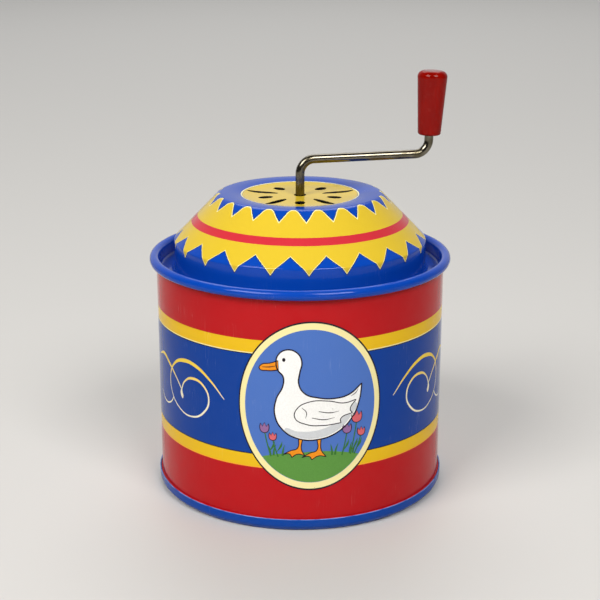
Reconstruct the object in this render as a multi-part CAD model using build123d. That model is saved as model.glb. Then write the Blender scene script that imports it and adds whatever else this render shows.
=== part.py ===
from build123d import *
import os
from math import acos, atan, cos, degrees, pi, radians, sin, sqrt, tan

# Hand crank music box: a seamed tin can with a domed lid and a crank-turned comb movement inside.
#
# Millimetres. +Z is up, the origin is the centre of the base where it rests, and -Y is the front.
# The crank axis is the Z axis. The pin drum lies along X, behind the crank axis.

# ---- the can -----------------------------------------------------------------------------
CAN_R = 40.0  # outside radius of the can wall
SHEET = 0.35  # tinplate thickness

# top rim: the lid's edge is rolled over the curled edge of the can wall
ROLL_R = 1.35  # outside radius of the roll
ROLL_X = CAN_R + 0.55  # radius of the roll's centre line
ROLL_Z = 65.3
ROLL_TURN = 262.0  # how far the lid's edge is rolled round its own centre, degrees
CURL_R = ROLL_R - SHEET - 0.1  # outside radius of the can wall's curl, inside the roll
CURL_TURN = 300.0

# lid, as radius and height of its outer surface
CRANK_HOLE_R = 1.75
DISH_R, DISH_Z = 14.0, 82.3  # flat centre, with the crank's hole
BROW_R = 18.5  # where the dish has risen to the flat ring at the top
CROWN_R, CROWN_Z = 22.6, 83.1  # edge where the top turns down into the cone
SHOULDER_R, SHOULDER_Z = 34.9, 70.5  # edge where the cone turns down into the skirt
SKIRT_R = 35.0  # foot of the skirt
GUTTER_R, GUTTER_Z = ROLL_X - ROLL_R, 62.2  # outer wall and floor of the gutter

# sound slots, leaf shaped, long and short in turn round the dished centre
SLOT_COUNT = 10
LONG_SLOT = (6.4, 15.7, 2.2)  # inner end, outer end, width
SHORT_SLOT = (7.8, 12.0, 2.8)

# base: a recessed panel inside a seam that stands on the table
PANEL_Z = 2.2
SEAM_R = 40.75
SEAM_TOP = 3.5
HEM_FOOT, HEM_TOP = 1.6, 3.3  # the folded foot of the can wall, inside the seam
FOOT_IN, FOOT_OUT = 38.2, 39.6  # flat ring that rests on the table

# lap seam down the back of the can wall
LAP_WIDTH = 3.0

# ---- the crank ---------------------------------------------------------------------------
ROD_R = 1.25
ROD_FOOT = 31.3
ARM_Z = 92.2
ARM_LENGTH = 37.0
ARM_AZIMUTH = 14.0  # degrees from +X towards +Y, at rest
BEND_R = 4.0

# knob, free to turn on the wire's outer end, with heights above the arm along that end
KNOB_LEAN = 1.9  # degrees that the wire's outer end leans outwards
WIRE_END = 20.0
CLIP_Z, CLIP_H = 18.5, 0.5
CLIP_R = 2.1
CLIP_GROOVE_R = 0.95
KNOB_FOOT, KNOB_TOP = 5.3, 23.1
KNOB_FOOT_R, KNOB_TOP_R = 3.2, 4.25
KNOB_BORE_R = ROD_R + 0.07
KNOB_POCKET_R, KNOB_POCKET_GAP = 2.4, 0.35

# ---- the worm drive ----------------------------------------------------------------------
MODULE = 0.6
WHEEL_TEETH = 22
PRESSURE_ANGLE = radians(20)
LEAD = pi * MODULE  # single start, right handed
WORM_PITCH_R = 3.0
WORM_TIP_R = WORM_PITCH_R + MODULE
WORM_ROOT_R = WORM_PITCH_R - 0.7
THREAD_THIN = 0.16  # taken off the thread's thickness as backlash
THREAD_TURNS = 4.5
WHEEL_PITCH_R = MODULE * WHEEL_TEETH / 2
WHEEL_TIP_R = WHEEL_PITCH_R + MODULE
WHEEL_ROOT_R = WHEEL_PITCH_R - 0.75
WHEEL_HALF = 1.6  # half the wheel's face width
DRUM_Y = WORM_PITCH_R + WHEEL_PITCH_R  # drum axis behind the crank axis
DRUM_Z = 15.0  # drum axis above the table

# ---- the movement ------------------------------------------------------------------------
WASHER_H = 0.5
BOSS_FOOT = PANEL_Z + SHEET + WASHER_H
PLATE_Z, PLATE_TOP = 5.2, 7.2
PLATE_X = (-12.0, 27.0)
PLATE_Y = (-20.0, 18.5)
MOUNTS = [(-7.5, -15.5), (22.5, -15.5), (8.0, 15.0)]
MOUNT_R = 1.25

SHAFT_R = 1.2  # lower journal and top spigot of the worm shaft
JOURNAL_R = 1.5  # upper journal
RUNNING = 0.05  # radial clearance of every running fit
BOSS_TOP = 9.5
WORM_FOOT, WORM_HEAD = 10.1, 19.9
BRIDGE_Z, BRIDGE_TOP = 21.5, 23.5
SPIGOT_TOP = 31.0
PILLAR = (-11.5, -5.8, -8.0, 2.0)  # x and y extent of the pillar under the bridge
BRIDGE_SCREWS = [(-8.6, -5.6), (-8.6, -0.4)]
SLEEVE_R, SLEEVE_FOOT, SLEEVE_TOP = 3.0, 26.0, 40.0
SET_SCREW_R, SET_SCREW_Z = 0.8, (28.5, 36.0)

ARBOR_R = 1.0
ARBOR_X = (-6.2, 27.8)
EAR_LEFT, EAR_RIGHT = (-4.8, -2.6), (24.2, 26.4)
EAR_BUSH_R = 1.9
DRUM_X = (3.4, 23.0)
DRUM_R, DRUM_WALL = 6.2, 0.8
CAP_H = 1.2
PIN_R, PIN_H = 0.2, 0.5
PIN_STEPS = 48  # pins stand on this many lines round the drum

COMB_TEETH = 18
TOOTH_PITCH = 1.02
TOOTH_W, TIP_W, TIP_L = 0.78, 0.42, 1.2
FIRST_TOOTH_X = 4.9
TIP_GAP = 0.08  # tips stand this far clear of the pins
COMB_H = 0.8
COMB_Z = DRUM_Z - 0.15  # underside of the comb
LONGEST, SHORTEST = 13.0, 7.0
HEEL_Y = (-19.2, -11.2)  # the pedestal under the comb's heel
COMB_SCREWS = [(8.4, -15.2), (18.8, -15.2)]
WEIGHTED_TEETH = 9


def turned(edges):
    """A solid of revolution about Z from a closed outline drawn in the XZ plane."""
    return revolve(Plane.XZ * make_face(edges), Axis.Z)


def rod(radius, foot, top, x=0.0, y=0.0):
    """An upright cylinder from foot to top."""
    cylinder = Cylinder(radius, top - foot, align=(Align.CENTER, Align.CENTER, Align.MIN))
    return Pos(x, y, foot) * cylinder


def ring(radius, hole, foot, top, x=0.0, y=0.0):
    """An upright tube from foot to top."""
    return rod(radius, foot, top, x, y) - rod(hole, foot - 1, top + 1, x, y)


def block(x, y, z):
    """A box between the two values given on each axis."""
    sized = Box(x[1] - x[0], y[1] - y[0], z[1] - z[0], align=(Align.MIN,) * 3)
    return Pos(x[0], y[0], z[0]) * sized


def along_drum(radius, ends):
    """A cylinder on the drum axis between two X values."""
    lying = Rot(0, 90, 0) * rod(radius, 0, ends[1] - ends[0])
    return Pos(ends[0], DRUM_Y, DRUM_Z) * lying


def circle_point(centre, radius, angle):
    """A point on a circle in the plane of the section, angle in degrees."""
    return (centre[0] + radius * cos(radians(angle)), centre[1] + radius * sin(radians(angle)))


def pan_screw(head_r, head_h, shank_r, length, slot=0.6):
    """A slotted pan-head screw, head up, with the underside of its head at the origin."""
    head = rod(head_r, 0, head_h)
    head = fillet(head.edges().group_by(Axis.Z)[-1], head_h * 0.45)
    head -= Pos(0, 0, head_h) * Box(head_r * 3, slot, head_h * 0.9)
    return head + rod(shank_r, -length, 0)


# ---- casing ------------------------------------------------------------------------------
def roll(outer_r, turn):
    """A sheet edge rolled up, over and outwards from the can's wall, by turn degrees."""
    centre = (ROLL_X, ROLL_Z)
    angles = (180, 180 - turn / 2, 180 - turn)
    outer = [circle_point(centre, outer_r, angle) for angle in angles]
    inner = [circle_point(centre, outer_r - SHEET, angle) for angle in reversed(angles)]
    ends = [Line(outer[-1], inner[0]), Line(inner[-1], outer[0])]
    return turned([ThreePointArc(*outer), ThreePointArc(*inner), *ends])


def body_shell():
    """Can wall: folded foot, straight side with a lap seam at the back, curled top edge."""
    wall = ring(CAN_R, CAN_R - SHEET, HEM_FOOT, ROLL_Z)
    hem = ring(CAN_R + SHEET, CAN_R - SHEET / 2, HEM_FOOT, HEM_TOP)
    hem = fillet(hem.edges().group_by(Axis.Z)[-1].sort_by(SortBy.RADIUS)[-1], SHEET * 0.8)
    lap = ring(CAN_R - SHEET, CAN_R - 2 * SHEET, HEM_TOP + 2, GUTTER_Z - 2)
    lap &= Pos(0, CAN_R, 0) * Box(LAP_WIDTH, CAN_R, 4 * CAN_R)
    return wall + hem + lap + roll(CURL_R, CURL_TURN)


def leaf(inner, outer, width):
    """A blunt leaf-shaped slot cutter lying along +Y, from radius inner to radius outer."""
    outline = Ellipse(width / 2, (outer - inner) / 2)
    return Pos(0, (inner + outer) / 2, DISH_Z - 2) * extrude(outline, 4)


def top_cover():
    """Lid: dished top with sound slots, cone, skirt, gutter and rolled rim, in one pressing."""
    corners = [
        (CRANK_HOLE_R, DISH_Z),
        (DISH_R, DISH_Z),
        (BROW_R, CROWN_Z),
        (CROWN_R, CROWN_Z),
        (SHOULDER_R, SHOULDER_Z),
        (SKIRT_R, GUTTER_Z),
        (GUTTER_R, GUTTER_Z),
        (GUTTER_R, ROLL_Z),
    ]
    outer = FilletPolyline(*corners, radius=[24.0, 20.0, 2.4, 0.8, 1.0, 0.9])
    under = offset(outer, amount=SHEET, side=Side.RIGHT, kind=Kind.ARC, closed=True)
    pressing = revolve(Plane.XZ * make_face(under), Axis.Z) + roll(ROLL_R, ROLL_TURN)
    for index in range(SLOT_COUNT):
        shape = SHORT_SLOT if index % 2 == 0 else LONG_SLOT
        pressing -= Rot(0, 0, 180 + index * 360 / SLOT_COUNT) * leaf(*shape)
    return pressing


def base_plate():
    """Base: recessed panel, resting ring and seam skirt round the can's folded foot."""
    corners = [
        (0, PANEL_Z),
        (FOOT_IN - 1.6, PANEL_Z),
        (FOOT_IN, 0),
        (FOOT_OUT, 0),
        (SEAM_R, 1.3),
        (SEAM_R, SEAM_TOP),
    ]
    outer = FilletPolyline(*corners, radius=[0.9, 0.5, 0.5, 0.9])
    inner = offset(outer, amount=SHEET, side=Side.LEFT, kind=Kind.ARC, closed=True)
    plate = revolve(Plane.XZ * make_face(inner), Axis.Z)
    for x, y in MOUNTS:
        plate -= rod(MOUNT_R + 0.15, 0, PANEL_Z + 2, x, y)
    return plate


# ---- crank and knob ----------------------------------------------------------------------
def wire_end():
    """Place of the wire's outer end: origin on the arm's centre line, local Z up the knob."""
    arm = Rot(0, 0, ARM_AZIMUTH) * Pos(ARM_LENGTH, 0, ARM_Z)
    return arm * Rot(0, KNOB_LEAN, 0)


def crank_rod():
    """Crank: one steel wire bent twice, with a clip groove near its outer end."""
    corners = [(0, 0, ROD_FOOT), (0, 0, ARM_Z), wire_end().position]
    tip = (wire_end() * Pos(0, 0, WIRE_END)).position
    path = FilletPolyline(*corners, tip, radius=BEND_R)
    wire = sweep(Pos(0, 0, ROD_FOOT) * Circle(ROD_R), path=path)
    wire = chamfer(wire.edges().group_by(Axis.Z)[-1], 0.3)
    wire = chamfer(wire.edges().group_by(Axis.Z)[0], 0.3)
    groove = ring(ROD_R + 1, CLIP_GROOVE_R, CLIP_Z, CLIP_Z + CLIP_H)
    return wire - wire_end() * groove


def knob_clip():
    """Spring washer in the wire's groove, which keeps the knob on."""
    return wire_end() * ring(CLIP_R, CLIP_GROOVE_R, CLIP_Z, CLIP_Z + CLIP_H)


def crank_knob():
    """Knob: a moulded taper, widest at its rounded top, with a blind bore from below."""
    outline = [(0, KNOB_FOOT), (KNOB_FOOT_R, KNOB_FOOT), (KNOB_TOP_R, KNOB_TOP), (0, KNOB_TOP)]
    knob = turned(Polyline(*outline, close=True))
    knob = fillet(knob.edges().group_by(Axis.Z)[-1], 1.7)
    knob = fillet(knob.edges().group_by(Axis.Z)[0], 0.7)
    knob -= rod(KNOB_BORE_R, KNOB_FOOT - 1, WIRE_END + 0.6)
    pocket = (CLIP_Z - KNOB_POCKET_GAP, CLIP_Z + CLIP_H + KNOB_POCKET_GAP)
    knob -= rod(KNOB_POCKET_R, *pocket)
    return wire_end() * knob


def coupling_sleeve():
    """Sleeve that joins the crank wire to the worm shaft, with two set-screw holes."""
    sleeve = rod(SLEEVE_R, SLEEVE_FOOT, SLEEVE_TOP)
    sleeve = chamfer(sleeve.edges(), 0.4)
    sleeve -= rod(SHAFT_R, SLEEVE_FOOT - 1, SPIGOT_TOP + 0.15)
    sleeve -= rod(ROD_R, SPIGOT_TOP + 0.15, SLEEVE_TOP + 1)
    for z in SET_SCREW_Z:
        sleeve -= Pos(0, 0, z) * Rot(90, 0, 0) * rod(SET_SCREW_R, 0, SLEEVE_R + 1)
    return sleeve


def coupling_set_screws():
    """Two slotted set screws in the sleeve."""
    screws = []
    for z, inner in zip(SET_SCREW_Z, (SHAFT_R, ROD_R)):
        screw = rod(SET_SCREW_R, inner, SLEEVE_R - 0.1)
        screw -= Pos(0, 0, SLEEVE_R) * Box(0.3, SLEEVE_R, 0.8)
        screws.append(Pos(0, 0, z) * Rot(90, 0, 0) * screw)
    return Compound(children=screws)


# ---- worm drive --------------------------------------------------------------------------
def worm_thread():
    """The worm's thread, centred on the drum's height where it faces the wheel."""
    half = (LEAD / 2 - THREAD_THIN) / 2
    inner = WORM_ROOT_R - 0.15
    slope = tan(PRESSURE_ANGLE)
    crest = half - (WORM_TIP_R - WORM_PITCH_R) * slope
    root = half + (WORM_PITCH_R - inner) * slope
    height = THREAD_TURNS * LEAD
    helix = Helix(pitch=LEAD, height=height, radius=WORM_PITCH_R)
    outline = [(inner, -root), (WORM_TIP_R, -crest), (WORM_TIP_R, crest), (inner, root)]
    outline = [(r - WORM_PITCH_R, z) for r, z in outline]
    start = Plane(origin=helix @ 0, x_dir=(1, 0, 0), z_dir=helix % 0)
    section = start * make_face(Polyline(*outline, close=True))
    thread = sweep(section, path=helix, is_frenet=True)
    # turned so that a crest faces the wheel, on +Y, at the height of the drum's axis
    return Pos(0, 0, DRUM_Z - height / 2) * Rot(0, 0, 90 - 180 * THREAD_TURNS) * thread


def worm_shaft():
    """Worm shaft: lower journal, worm, upper journal and the spigot under the sleeve."""
    core = rod(WORM_ROOT_R, WORM_FOOT, WORM_HEAD) + worm_thread()
    core += rod(SHAFT_R, PLATE_Z + 0.6, WORM_FOOT)
    core += rod(JOURNAL_R, WORM_HEAD, SLEEVE_FOOT)
    return core + rod(SHAFT_R, SLEEVE_FOOT, SPIGOT_TOP)


def involute(base_r, r):
    """Angle, in radians, that an involute has turned through at radius r."""
    return sqrt((r / base_r) ** 2 - 1) - acos(base_r / r)


def wheel_outline():
    """Outline of the worm wheel with a gap on -Y, drawn about its own centre."""
    base_r = WHEEL_PITCH_R * cos(PRESSURE_ANGLE)
    half_tooth = pi / (2 * WHEEL_TEETH) + involute(base_r, WHEEL_PITCH_R)
    radii = [base_r + 0.02, (base_r + WHEEL_TIP_R) / 2, WHEEL_TIP_R]
    edges = []
    last = None
    for tooth in range(WHEEL_TEETH):
        middle = (tooth + 0.5) * 2 * pi / WHEEL_TEETH - pi / 2
        rise = [(r, middle - half_tooth + involute(base_r, r)) for r in radii]
        fall = [(r, middle + half_tooth - involute(base_r, r)) for r in reversed(radii)]
        foot = (WHEEL_ROOT_R, rise[0][1])
        end = (WHEEL_ROOT_R, fall[-1][1])
        points = [(r * cos(a), r * sin(a)) for r, a in (foot, *rise, *fall, end)]
        if last is None:
            first = points[0]
        else:
            edges.append(Line(last, points[0]))
        edges.append(Line(points[0], points[1]))
        edges.append(ThreePointArc(*points[1:4]))
        edges.append(Line(points[3], points[4]))
        edges.append(ThreePointArc(*points[4:7]))
        edges.append(Line(points[6], points[7]))
        last = points[7]
    edges.append(Line(last, first))
    return edges


def worm_wheel():
    """Worm wheel: teeth twisted to the worm's lead, with a hub against the drum."""
    lead_angle = atan(LEAD / (2 * pi * WORM_PITCH_R))
    twist = degrees(2 * WHEEL_HALF * tan(lead_angle) / WHEEL_PITCH_R)
    face = make_face(wheel_outline())
    # local X and Y of the outline become Y and Z of the part; extrusion runs along +X
    plane = Plane(origin=(-WHEEL_HALF, DRUM_Y, DRUM_Z), x_dir=(0, 0, 1), z_dir=(1, 0, 0))
    outline = plane * Rot(0, 0, -twist / 2) * face
    teeth = Solid.extrude_linear_with_rotation(
        outline.face(), plane.origin, Vector(2 * WHEEL_HALF, 0, 0), twist
    )
    wheel = teeth + along_drum(2.6, (WHEEL_HALF - 0.2, DRUM_X[0]))
    return wheel - along_drum(ARBOR_R, (-5, 5))


# ---- drum --------------------------------------------------------------------------------
def pin_drum():
    """Tune drum: a thin brass tube."""
    return along_drum(DRUM_R, DRUM_X) - along_drum(DRUM_R - DRUM_WALL, (0, 30))


def drum_end_cap(left):
    """Disc pressed into one end of the drum and onto the arbor."""
    if left:
        ends = (DRUM_X[0], DRUM_X[0] + CAP_H)
    else:
        ends = (DRUM_X[1] - CAP_H, DRUM_X[1])
    disc = along_drum(DRUM_R - DRUM_WALL, ends)
    return disc - along_drum(ARBOR_R, (0, 30))


def tooth_x(index):
    """Middle of a comb tooth, and of the pin track above it."""
    return FIRST_TOOTH_X + TOOTH_PITCH * index


def drum_pins():
    """The tune: short steel pins on the tooth tracks, two to a step with rests between."""
    pins = []
    for step in range(PIN_STEPS):
        tracks = {(step * 5) % COMB_TEETH, (step * 7 + 4) % COMB_TEETH}
        if step % 8 == 7:
            continue
        for track in sorted(tracks):
            pin = Pos(0, 0, DRUM_R) * rod(PIN_R, 0, PIN_H)
            turn = Rot((step + 0.5) * 360 / PIN_STEPS, 0, 0)
            pins.append(Pos(tooth_x(track), DRUM_Y, DRUM_Z) * turn * pin)
    return Compound(children=pins)


def drum_arbor():
    """Steel arbor through the drum, turning in the two ears."""
    return along_drum(ARBOR_R, ARBOR_X)


def arbor_clips():
    """Clips that keep the arbor between the ears."""
    left = (EAR_LEFT[0] - 0.8, EAR_LEFT[0] - 0.3)
    right = (EAR_RIGHT[1] + 0.3, EAR_RIGHT[1] + 0.8)
    clips = [along_drum(2.0, ends) - along_drum(ARBOR_R, (-9, 30)) for ends in (left, right)]
    return Compound(children=clips)


# ---- movement frame ----------------------------------------------------------------------
def ear(ends):
    """A round-topped ear that carries one end of the arbor."""
    width = 4.2
    foot = block(ends, (DRUM_Y - width, DRUM_Y + width), (PLATE_TOP - 0.5, DRUM_Z))
    return foot + along_drum(width, ends) - along_drum(EAR_BUSH_R, (-9, 30))


def movement_bedplate():
    """Die-cast bedplate: feet, comb pedestal, two ears, bearing boss and bridge pillar."""
    plate = block(PLATE_X, PLATE_Y, (PLATE_Z, PLATE_TOP))
    plate = fillet(plate.edges().filter_by(Axis.Z), 3.0)
    for x, y in MOUNTS:
        plate += rod(3.2, BOSS_FOOT, PLATE_Z + 0.5, x, y)
    pedestal_x = (tooth_x(0) - 1.2, tooth_x(COMB_TEETH - 1) + 1.2)
    plate += block(pedestal_x, HEEL_Y, (PLATE_TOP - 0.5, COMB_Z))
    plate += ear(EAR_LEFT) + ear(EAR_RIGHT)
    plate += rod(3.0, PLATE_TOP - 0.5, BOSS_TOP)
    pillar = block(PILLAR[:2], PILLAR[2:], (PLATE_TOP - 0.5, BRIDGE_Z))
    plate += fillet(pillar.edges().filter_by(Axis.Z), 1.2)
    for x, y in MOUNTS:
        plate -= rod(MOUNT_R, BOSS_FOOT - 1, PLATE_TOP - 0.2, x, y)
    for x, y in COMB_SCREWS:
        plate -= rod(1.0, COMB_Z - 4.5, COMB_Z + 1, x, y)
    for x, y in BRIDGE_SCREWS:
        plate -= rod(0.9, BRIDGE_Z - 4.5, BRIDGE_Z + 1, x, y)
    return plate - rod(SHAFT_R + RUNNING, PLATE_Z + 0.5, BOSS_TOP + 1)


def ear_bushes():
    """Brass bushes for the arbor, one in each ear."""
    bushes = []
    for ends in (EAR_LEFT, EAR_RIGHT):
        bush = along_drum(EAR_BUSH_R, ends) - along_drum(ARBOR_R + RUNNING, (-9, 30))
        bushes.append(bush)
    return Compound(children=bushes)


def thrust_washer():
    """Washer on the boss, under the worm."""
    return ring(2.6, SHAFT_R + RUNNING, BOSS_TOP, WORM_FOOT - 0.1)


def worm_bridge():
    """Steel bridge from the pillar over the worm, which holds the upper bush."""
    bridge = block((PILLAR[0], 0), (PILLAR[2], 4.0), (BRIDGE_Z, BRIDGE_TOP))
    bridge = fillet(bridge.edges().filter_by(Axis.Z).group_by(Axis.X)[0], 2.0)
    bridge += rod(4.6, BRIDGE_Z, BRIDGE_TOP)
    bridge -= rod(2.5, BRIDGE_Z - 1, BRIDGE_TOP + 1)
    for x, y in BRIDGE_SCREWS:
        bridge -= rod(1.1, BRIDGE_Z - 1, BRIDGE_TOP + 1, x, y)
    return bridge


def bridge_bush():
    """Flanged brass bush for the worm shaft's upper journal."""
    bush = rod(2.5, BRIDGE_Z, BRIDGE_TOP + 0.4) + rod(3.3, BRIDGE_Z - 0.6, BRIDGE_Z)
    return bush - rod(JOURNAL_R + RUNNING, BRIDGE_Z - 2, BRIDGE_TOP + 2)


def screws_at(places, z, *sizes):
    """Slotted screws with their heads up, standing on height z."""
    return Compound(children=[Pos(x, y, z) * pan_screw(*sizes) for x, y in places])


def bridge_screws():
    """Two screws that hold the bridge to the pillar."""
    return screws_at(BRIDGE_SCREWS, BRIDGE_TOP, 1.8, 1.0, 0.9, 6.0)


def comb_screws():
    """Two screws that hold the comb to its pedestal."""
    return screws_at(COMB_SCREWS, COMB_Z + COMB_H, 2.3, 1.2, 1.0, 4.8)


def mounting_screws():
    """Three screws up through the base panel into the bedplate's feet."""
    screw = Rot(180, 0, 0) * pan_screw(2.5, 1.3, MOUNT_R, 4.5)
    return Compound(children=[Pos(x, y, PANEL_Z) * screw for x, y in MOUNTS])


def mounting_washers():
    """Fibre washers between the base panel and the bedplate's feet."""
    foot = PANEL_Z + SHEET
    return Compound(children=[ring(3.2, MOUNT_R, foot, BOSS_FOOT, x, y) for x, y in MOUNTS])


# ---- comb --------------------------------------------------------------------------------
def tip_y():
    """Where the comb's tips end, just clear of the pins."""
    return DRUM_Y - DRUM_R - PIN_H - TIP_GAP


def tooth_length(index):
    """Free length of a tooth: long bass teeth at low X, short treble teeth at high X."""
    return LONGEST - (LONGEST - SHORTEST) * index / (COMB_TEETH - 1)


def comb():
    """Steel comb, cut as one outline: heel, slots and narrow-tipped teeth."""
    left, right = tooth_x(0) - 0.95, tooth_x(COMB_TEETH - 1) + 0.95
    outline = [(right, HEEL_Y[0] + 1), (left, HEEL_Y[0] + 1)]
    for index in range(COMB_TEETH):
        x, tip = tooth_x(index), tip_y()
        root, neck = tip - tooth_length(index), tip - TIP_L
        if index == 0:
            outline.append((left, root))
        outline += [(x - TOOTH_W / 2, root), (x - TOOTH_W / 2, neck), (x - TIP_W / 2, tip)]
        outline += [(x + TIP_W / 2, tip), (x + TOOTH_W / 2, neck), (x + TOOTH_W / 2, root)]
    outline.append((right, tip_y() - SHORTEST))
    plate = Pos(0, 0, COMB_Z) * extrude(make_face(Polyline(*outline, close=True)), COMB_H)
    for x, y in COMB_SCREWS:
        plate -= rod(1.15, COMB_Z - 1, COMB_Z + 2, x, y)
    return plate


def comb_weights():
    """Lead weights under the bass teeth, heaviest on the longest."""
    weights = []
    for index in range(WEIGHTED_TEETH):
        depth = 1.9 - 0.15 * index
        x = (tooth_x(index) - TOOTH_W / 2 + 0.05, tooth_x(index) + TOOTH_W / 2 - 0.05)
        y = (tip_y() - TIP_L - 2.6, tip_y() - TIP_L)
        weights.append(block(x, y, (COMB_Z - depth, COMB_Z)))
    return Compound(children=weights)


NODES = {
    "body_shell": body_shell,
    "top_cover": top_cover,
    "base_plate": base_plate,
    "crank_rod": crank_rod,
    "knob_clip": knob_clip,
    "crank_knob": crank_knob,
    "coupling_sleeve": coupling_sleeve,
    "coupling_set_screws": coupling_set_screws,
    "worm_shaft": worm_shaft,
    "worm_wheel": worm_wheel,
    "pin_drum": pin_drum,
    "drum_end_cap_left": lambda: drum_end_cap(True),
    "drum_end_cap_right": lambda: drum_end_cap(False),
    "drum_pins": drum_pins,
    "drum_arbor": drum_arbor,
    "arbor_clips": arbor_clips,
    "movement_bedplate": movement_bedplate,
    "ear_bushes": ear_bushes,
    "thrust_washer": thrust_washer,
    "worm_bridge": worm_bridge,
    "bridge_bush": bridge_bush,
    "bridge_screws": bridge_screws,
    "comb": comb,
    "comb_screws": comb_screws,
    "comb_weights": comb_weights,
    "mounting_screws": mounting_screws,
    "mounting_washers": mounting_washers,
}

os.makedirs("parts", exist_ok=True)
for name, build in NODES.items():
    export_step(build(), f"parts/{name}.step")
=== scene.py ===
from math import cos, degrees, pi, radians, sin, sqrt, tan

import bmesh
import bpy
from mathutils import Matrix, Vector


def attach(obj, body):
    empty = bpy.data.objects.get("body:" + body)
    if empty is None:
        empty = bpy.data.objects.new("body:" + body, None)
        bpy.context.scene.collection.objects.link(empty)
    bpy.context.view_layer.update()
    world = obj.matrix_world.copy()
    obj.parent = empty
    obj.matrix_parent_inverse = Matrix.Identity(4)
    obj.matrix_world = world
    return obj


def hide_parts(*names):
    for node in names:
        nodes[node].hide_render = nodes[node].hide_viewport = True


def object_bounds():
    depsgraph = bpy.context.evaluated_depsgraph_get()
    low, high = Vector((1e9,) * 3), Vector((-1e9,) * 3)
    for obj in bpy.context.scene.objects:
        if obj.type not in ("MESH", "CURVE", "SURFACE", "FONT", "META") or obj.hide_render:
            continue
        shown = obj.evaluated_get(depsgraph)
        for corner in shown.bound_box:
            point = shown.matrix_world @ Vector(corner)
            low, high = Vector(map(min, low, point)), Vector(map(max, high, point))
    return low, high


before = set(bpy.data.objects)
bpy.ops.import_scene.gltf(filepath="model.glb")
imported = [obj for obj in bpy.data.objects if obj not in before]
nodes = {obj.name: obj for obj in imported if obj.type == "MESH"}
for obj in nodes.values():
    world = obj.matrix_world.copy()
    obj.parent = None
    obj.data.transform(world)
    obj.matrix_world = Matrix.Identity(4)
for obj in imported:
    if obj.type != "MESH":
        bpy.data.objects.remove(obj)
cad_low, cad_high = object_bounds()

# ---- studio ------------------------------------------------------------------------------
# A plain pale floor, a pale room that is brighter behind the can than in front of it, two soft
# lamps up at the front and one over the floor at the back. The camera looks down a little.

scene = bpy.context.scene
scene.view_settings.view_transform = "Standard"

CAMERA_BACK, CAMERA_UP, CAMERA_PITCH = 0.3651, 0.1623, radians(16.82)
FILM_WIDTH, FOCAL_LENGTH = 36.0, 80.9
camera_data = bpy.data.cameras.new("camera")
camera_data.sensor_width = FILM_WIDTH
camera_data.lens = FOCAL_LENGTH
camera = bpy.data.objects.new("camera", camera_data)
camera.location = (0.0, -CAMERA_BACK, CAMERA_UP)
camera.rotation_euler = (pi / 2 - CAMERA_PITCH, 0.0, 0.0)
scene.collection.objects.link(camera)
scene.camera = camera


def soft_lamp(name, place, target, size, watts, colour):
    """A square soft lamp that points at a target."""
    data = bpy.data.lights.new(name, "AREA")
    data.size = size
    data.energy = watts
    data.color = colour
    lamp = bpy.data.objects.new(name, data)
    lamp.location = place
    aim = Vector(target) - Vector(place)
    lamp.rotation_euler = aim.to_track_quat("-Z", "Y").to_euler()
    scene.collection.objects.link(lamp)


box_middle = (cad_low + cad_high) / 2
back_floor = (0.0, 1.35, 0.0)
soft_lamp("lamp_left", (-0.72, -0.76, 1.00), box_middle, 0.70, 16.5, (1.0, 0.98, 0.95))
soft_lamp("lamp_right", (0.52, -0.92, 1.02), box_middle, 0.60, 14.0, (1.0, 0.98, 0.96))
soft_lamp("lamp_back_floor", (0.0, 1.45, 1.50), back_floor, 1.40, 16.0, (1.0, 1.0, 1.0))

room = bpy.data.worlds.new("room")
room.use_nodes = True
scene.world = room
tree = room.node_tree
tree.nodes.clear()
direction = tree.nodes.new("ShaderNodeTexCoord")
parts = tree.nodes.new("ShaderNodeSeparateXYZ")
towards_back = tree.nodes.new("ShaderNodeMapRange")
towards_back.interpolation_type = "SMOOTHSTEP"
towards_back.inputs["From Min"].default_value = 0.05
towards_back.inputs["From Max"].default_value = 0.95
towards_back.inputs["To Min"].default_value = 0.05
towards_back.inputs["To Max"].default_value = 0.80
seen = tree.nodes.new("ShaderNodeLightPath")
backdrop = tree.nodes.new("ShaderNodeMix")
backdrop.inputs["B"].default_value = 0.86
background = tree.nodes.new("ShaderNodeBackground")
output = tree.nodes.new("ShaderNodeOutputWorld")
tree.links.new(direction.outputs["Generated"], parts.inputs[0])
tree.links.new(parts.outputs["Y"], towards_back.inputs["Value"])
tree.links.new(seen.outputs["Is Camera Ray"], backdrop.inputs["Factor"])
tree.links.new(towards_back.outputs["Result"], backdrop.inputs["A"])
tree.links.new(backdrop.outputs["Result"], background.inputs["Strength"])
tree.links.new(background.outputs[0], output.inputs[0])


def new_finish(name):
    """A new material. Returns it with its node tree and its shader."""
    material = bpy.data.materials.new(name)
    material.use_nodes = True
    return material, material.node_tree, material.node_tree.nodes["Principled BSDF"]


FLOOR_SIZE = 8.0
shape = bmesh.new()
bmesh.ops.create_grid(shape, x_segments=1, y_segments=1, size=FLOOR_SIZE)
floor_mesh = bpy.data.meshes.new("floor")
shape.to_mesh(floor_mesh)
shape.free()
floor = bpy.data.objects.new("floor", floor_mesh)
scene.collection.objects.link(floor)
floor_finish, tree, floor_shader = new_finish("pale_floor")
floor_shader.inputs["Base Color"].default_value = (0.56, 0.55, 0.53, 1.0)
floor_shader.inputs["Roughness"].default_value = 0.55
floor_mesh.materials.append(floor_finish)

# ---- can wall ----------------------------------------------------------------------------
# One sheet of printed and lacquered tinplate, bent round and joined by a lap seam down the
# back. Its foot is folded into the base's seam and its top edge is curled inside the lid's rim.

MM = 0.001
WALL_RADIUS = 40.0
SHEET = 0.35
HEM_FOOT, HEM_TOP, HEM_ROUND = 1.6, 3.3, 0.28
WALL_RINGS = 24
ROLL_RADIUS, ROLL_CENTRE, ROLL_HEIGHT = 1.35, 40.55, 65.3
CURL_GAP = 0.1
TURNS = 288


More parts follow.
